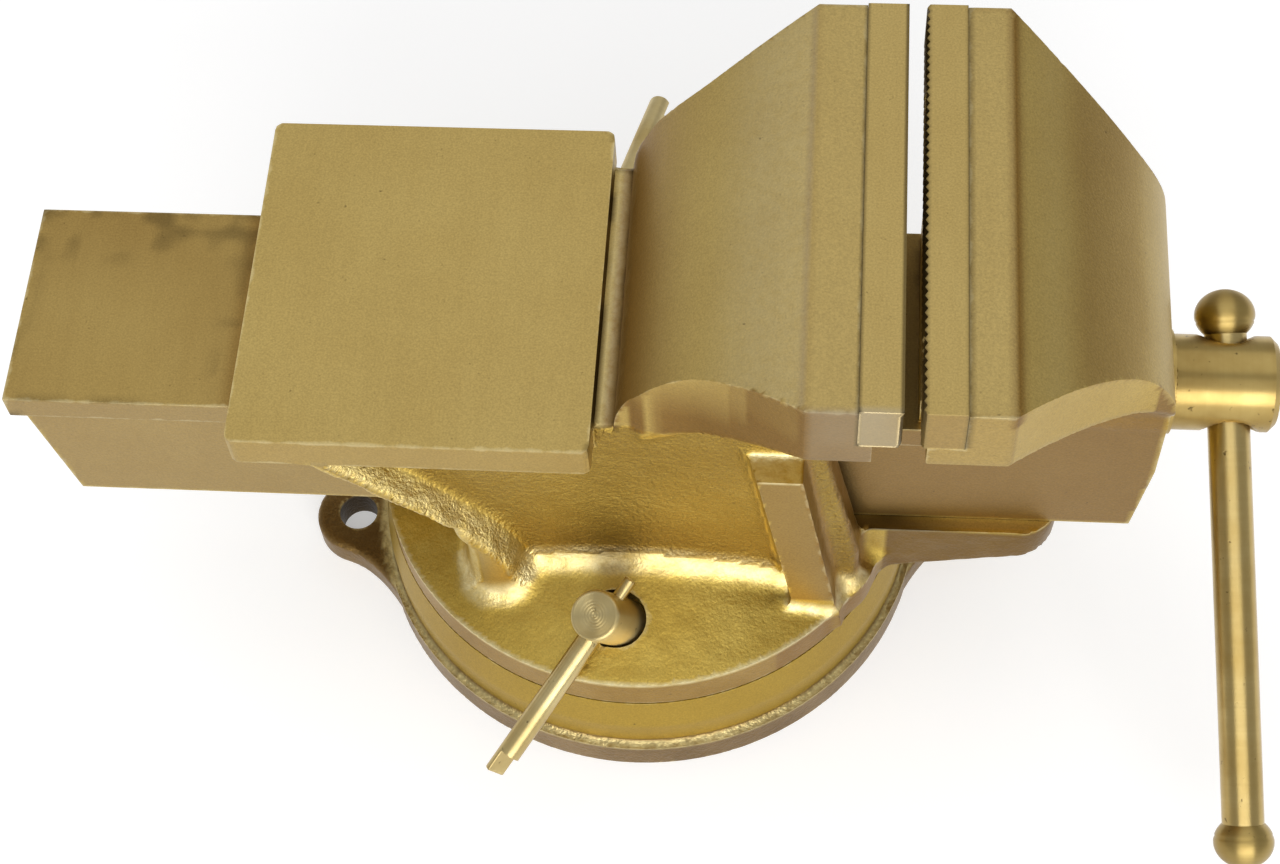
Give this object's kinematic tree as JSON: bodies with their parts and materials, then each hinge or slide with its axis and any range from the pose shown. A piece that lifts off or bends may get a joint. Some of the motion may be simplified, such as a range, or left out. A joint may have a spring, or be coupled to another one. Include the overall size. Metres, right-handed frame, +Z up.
{
  "type": "parallel bench vise",
  "caption": "Cast bronze parallel bench vise: swivel base with bolt lugs, body with anvil and fixed jaw, sliding jaw driven by a screw with a loose handle bar, and two leaning swivel locks.",
  "frame": {"origin": "on the swivel axis at the bench face, midway between the bench bolts", "axes": "+X along the slide towards the handle, +Z up, out of the bench"},
  "size_m": [0.4227, 0.2876, 0.212],
  "materials": {
    "cast_bronze": "sand cast, satin on its machined faces",
    "base_bronze": "sand cast, dull",
    "jaw_bronze": "milled, satin",
    "turned_bronze": "turned, satin",
    "fitting_bronze": "turned, satin"
  },
  "bodies": {
    "base": {"swivel_base": "base_bronze"},
    "body": {"vise_body": "cast_bronze", "fixed_jaw_plate": "jaw_bronze", "fixed_jaw_screws": "fitting_bronze", "spindle_nut": "fitting_bronze", "nut_screw": "fitting_bronze", "nut_washer": "fitting_bronze", "pivot_bolt": "fitting_bronze", "pivot_washer": "fitting_bronze"},
    "slide": {"moving_jaw": "cast_bronze", "moving_jaw_plate": "jaw_bronze", "moving_jaw_screws": "fitting_bronze"},
    "screw": {"spindle": "turned_bronze", "thrust_washer": "fitting_bronze", "spindle_collar": "fitting_bronze", "collar_pin": "fitting_bronze"},
    "handle": {"handle_bar": "turned_bronze", "handle_knob_upper": "turned_bronze", "handle_knob_lower": "turned_bronze"},
    "lock_front": {"lock_screw_front": "turned_bronze", "lock_bar_front": "turned_bronze"},
    "lock_rear": {"lock_screw_rear": "turned_bronze", "lock_bar_rear": "turned_bronze"}
  },
  "joints": [
    {"name": "swivel", "type": "hinge", "parent": "base", "child": "body", "pos_m": [0, 0, 0.04], "axis": [0, 0, 1], "continuous": true},
    {"name": "jaw_slide", "type": "slide", "parent": "body", "child": "slide", "axis": [1, 0, 0], "range_m": [-0.00521, 0.14001]},
    {"name": "spindle_turn", "type": "hinge", "parent": "slide", "child": "screw", "pos_m": [0.16, 0, 0.111], "axis": [1, 0, 0], "range_deg": [-312, 8400]},
    {"name": "handle_slide", "type": "slide", "parent": "screw", "child": "handle", "axis": [-0.0698, 0.8639, 0.4988], "range_m": [0, 0.13]},
    {"name": "front_lock_turn", "type": "hinge", "parent": "body", "child": "lock_front", "pos_m": [-0.0047, -0.07084, 0.05801], "axis": [-0.2764, -0.3463, 0.8965], "range_deg": [-8, 122]},
    {"name": "rear_lock_turn", "type": "hinge", "parent": "body", "child": "lock_rear", "pos_m": [-0.0047, 0.07084, 0.05801], "axis": [-0.2764, 0.3463, 0.8965], "range_deg": [-78, 53]}
  ],
  "couplings": [
    {"joint": "jaw_slide", "follows": "spindle_turn", "m_per_rad": 0.00095493}
  ]
}
